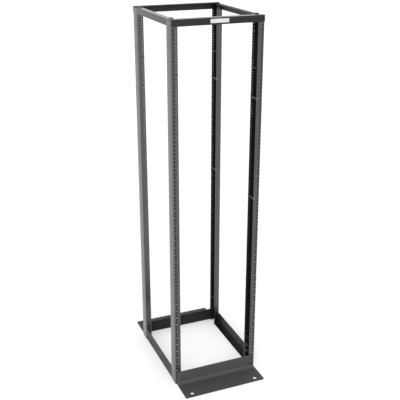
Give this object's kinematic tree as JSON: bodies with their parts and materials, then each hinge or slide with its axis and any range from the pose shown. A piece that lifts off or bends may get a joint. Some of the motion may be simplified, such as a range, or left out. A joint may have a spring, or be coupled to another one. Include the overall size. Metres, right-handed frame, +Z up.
{
  "type": "four-post open frame rack",
  "caption": "Tall four-post open frame floor rack for 19-inch equipment, with folded channel posts, bolted top angles, base rails and front and rear foot plates.",
  "frame": {"origin": "on the floor, under the middle of the rack", "axes": "+X to the right seen from the front, +Y from front to rear, +Z up"},
  "size_m": [0.518, 0.922, 2.134],
  "materials": {
    "posts": "satin black powder coat",
    "base": "satin black powder coat",
    "top": "satin black powder coat"
  },
  "bodies": {
    "root": {"post_front_left": "posts", "post_front_right": "posts", "post_rear_left": "posts", "post_rear_right": "posts", "base_front": "base", "base_rear": "base", "base_rail_left": "base", "base_rail_right": "base", "top_bar_front": "top", "top_bar_rear": "top", "top_bar_left": "top", "top_bar_right": "top"}
  },
  "joints": []
}
